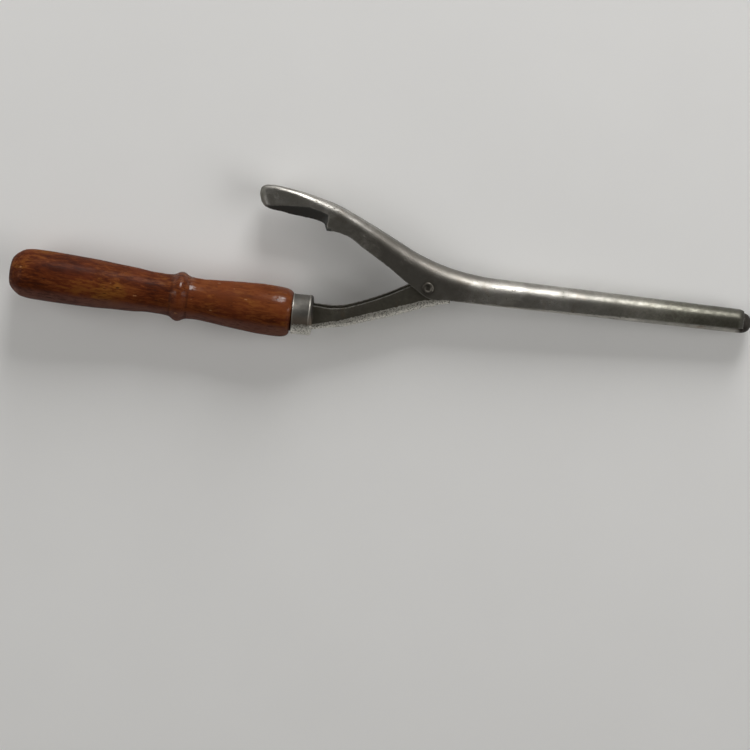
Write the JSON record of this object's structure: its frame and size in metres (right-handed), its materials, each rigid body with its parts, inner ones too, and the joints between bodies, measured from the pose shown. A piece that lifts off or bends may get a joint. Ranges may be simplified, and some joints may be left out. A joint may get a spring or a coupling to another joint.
{
  "type": "spring-closed hair curling tongs",
  "caption": "Hair curling tongs: turned wooden handle, steel rod, and a sprung thumb lever whose trough-shaped clamp closes over the rod.",
  "frame": {"origin": "under the middle of the whole tongs, on the plane that the handle's side touches as they lie flat", "axes": "+X along the barrel towards its tip, +Y towards the thumb lever in the plane it swings in, +Z along the pivot"},
  "size_m": [0.2653, 0.0533, 0.018],
  "materials": {
    "varnished_wood": "turned hardwood under worn red-brown varnish, dark streaks along the grain",
    "ferrule_steel": "worn plated steel, pitted on its lower side",
    "shank_steel": "dull pressed steel, its rounded underside pitted bright",
    "rod_steel": "drawn steel rod, heat-darkened and worn",
    "clamp_steel": "worn pressed steel, rubbed bright along its rounded back, with small dark pits",
    "rivet_steel": "set rivet steel",
    "spring_steel": "dark spring wire"
  },
  "bodies": {
    "grip": {"handle": "varnished_wood", "ferrule": "ferrule_steel", "shank": "shank_steel", "barrel_rod": "rod_steel", "rod_rivet": "rivet_steel", "pivot_rivet": "rivet_steel", "pivot_bush": "rivet_steel", "lever_spring": "spring_steel"},
    "lever": {"lever_clamp": "clamp_steel"}
  },
  "joints": [
    {"name": "lever_pivot", "type": "hinge", "parent": "grip", "child": "lever", "pos_m": [0.01645, -0.00238, 0.009], "axis": [0, 0, 1], "range_deg": [0, 23], "stiffness_Nm_per_rad": 0.4, "springref_deg": -20.05, "deforming": ["lever_spring"]}
  ]
}
